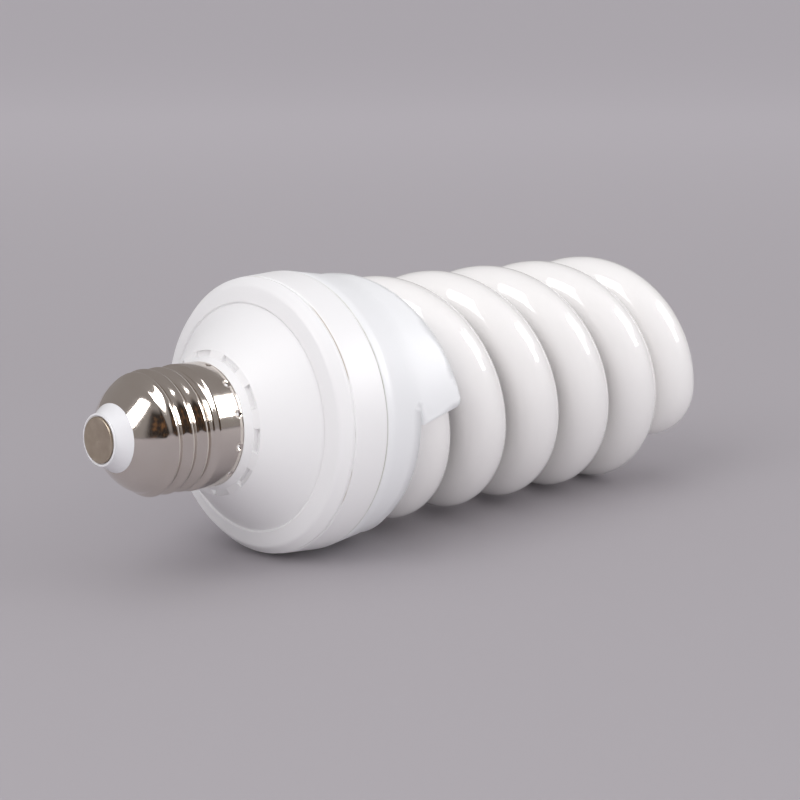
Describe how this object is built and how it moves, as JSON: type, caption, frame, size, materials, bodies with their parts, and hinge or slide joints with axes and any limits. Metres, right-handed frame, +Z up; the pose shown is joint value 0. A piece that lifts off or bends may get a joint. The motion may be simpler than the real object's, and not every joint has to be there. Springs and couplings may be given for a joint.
{
  "type": "photography bulb",
  "caption": "Compact fluorescent photo bulb: screw base, white ballast housing with ramped tube cover, double-spiral glass tube.",
  "frame": {"origin": "middle of the lying bulb's box, at the surface that it rests on", "axes": "+X from the screw base towards the coil, +Z up, the bulb lying on its side"},
  "size_m": [0.1659, 0.061, 0.0611],
  "materials": {
    "contact_metal": "dull tin-plated contact disc",
    "base_insulator": "glossy white insulator",
    "nickel_shell": "polished nickel-plated shell",
    "housing_plastic": "satin white moulded plastic",
    "cover_plastic": "satin white moulded plastic, slightly cool",
    "opal_glass": "phosphor-coated glass tube, opal white and glossy",
    "silicone": "white silicone",
    "board": "paper laminate board",
    "capacitor_sleeve": "shrink sleeve",
    "ferrite": "grey ferrite",
    "bobbin_plastic": "black moulded bobbin",
    "copper_wire": "enamelled copper wire",
    "film_coat": "dipped coat",
    "component_black": "moulded case",
    "resistor_coat": "painted coat",
    "tinned_metal": "tinned wire",
    "wire_insulation": "white insulation",
    "fuse_sleeve": "coated fuse resistor"
  },
  "bodies": {
    "root": {"center_contact": "contact_metal", "base_insulator": "base_insulator", "screw_shell": "nickel_shell", "lower_housing": "housing_plastic", "housing_band": "housing_plastic", "tube_cover": "cover_plastic", "spiral_tube": "opal_glass", "tube_cement": "silicone", "circuit_board": "board", "electrolytic_capacitor": "capacitor_sleeve", "choke_core": "ferrite", "choke_bobbin": "bobbin_plastic", "choke_winding": "copper_wire", "toroid_core": "ferrite", "toroid_windings": "copper_wire", "film_capacitors": "film_coat", "power_transistors": "component_black", "filter_inductor": "ferrite", "rectifier_diodes": "component_black", "resistors": "resistor_coat", "lead_posts": "tinned_metal", "filament_leads": "tinned_metal", "live_wire": "wire_insulation", "neutral_wire": "wire_insulation", "fuse_resistor": "fuse_sleeve"}
  },
  "joints": []
}
